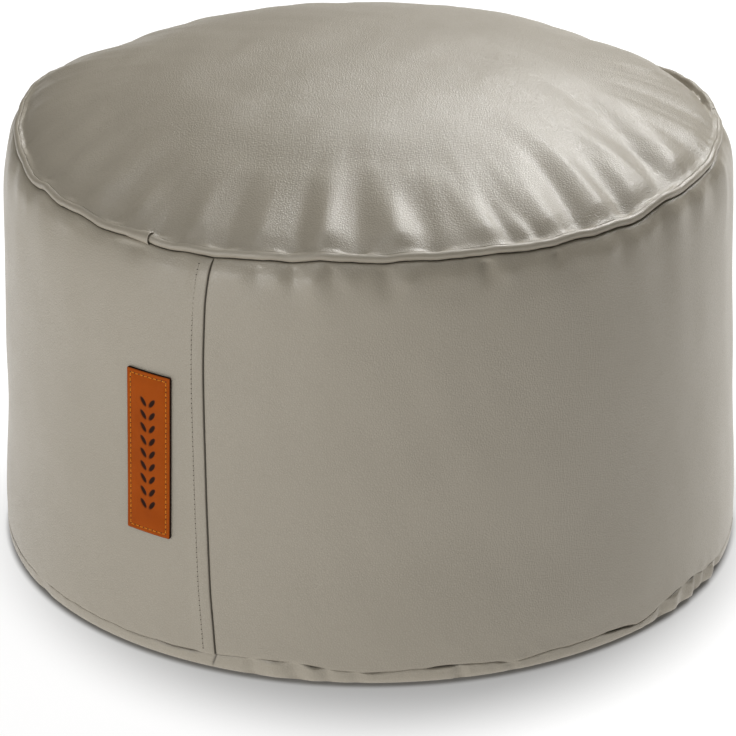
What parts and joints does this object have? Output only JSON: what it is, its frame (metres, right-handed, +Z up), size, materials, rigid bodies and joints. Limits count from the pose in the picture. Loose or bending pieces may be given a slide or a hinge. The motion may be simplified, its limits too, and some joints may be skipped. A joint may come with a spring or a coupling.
{
  "type": "bean bag footstool",
  "caption": "Round bean bag footstool in greige artificial leather, with a crowned top, a piped top seam, a lapped side seam and a sewn tan leather patch.",
  "frame": {"origin": "on the floor, under the middle of the base", "axes": "+Z up; -Y is the front, with the lapped side seam and the leather patch to its left; +X to the right as seen from the front"},
  "size_m": [0.5192, 0.5192, 0.3465],
  "materials": {
    "cover": "pebbled artificial leather, satin, greige",
    "piping": "artificial leather stretched over a cord, satin, greige",
    "patch": "tan leather, cut edges, stitched round its border"
  },
  "bodies": {
    "root": {"top_panel": "cover", "side_panel": "cover", "base_panel": "cover", "top_piping_front": "piping", "top_piping_back": "piping", "label_patch": "patch"}
  },
  "joints": []
}
